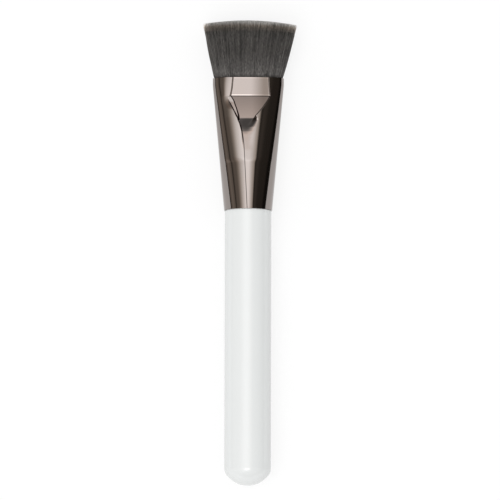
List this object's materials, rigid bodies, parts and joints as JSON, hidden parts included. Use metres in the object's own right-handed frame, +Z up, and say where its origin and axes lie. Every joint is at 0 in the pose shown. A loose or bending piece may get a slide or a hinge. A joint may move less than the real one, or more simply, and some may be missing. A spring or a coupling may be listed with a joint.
{
  "type": "contour brush",
  "caption": "Make-up brush with a straight lacquered handle, a flattened plated ferrule with a pressed panel, and a wide flared flat-topped head of dense bristles.",
  "frame": {"origin": "on the surface that the brush lies on, under the brush's axis, halfway along its length", "axes": "+Y along the brush from the butt to the bristle tips, +X across the width of the head, +Z up through its thickness, out of the face with the pressed panel"},
  "size_m": [0.0345, 0.1657, 0.0171],
  "materials": {
    "lacquered_wood": "satin",
    "plated_metal": "polished",
    "epoxy": "gloss",
    "bristles": "matte"
  },
  "bodies": {
    "root": {"handle": "lacquered_wood", "ferrule": "plated_metal", "glue_plug": "epoxy", "bristle_head": "bristles"}
  },
  "joints": []
}
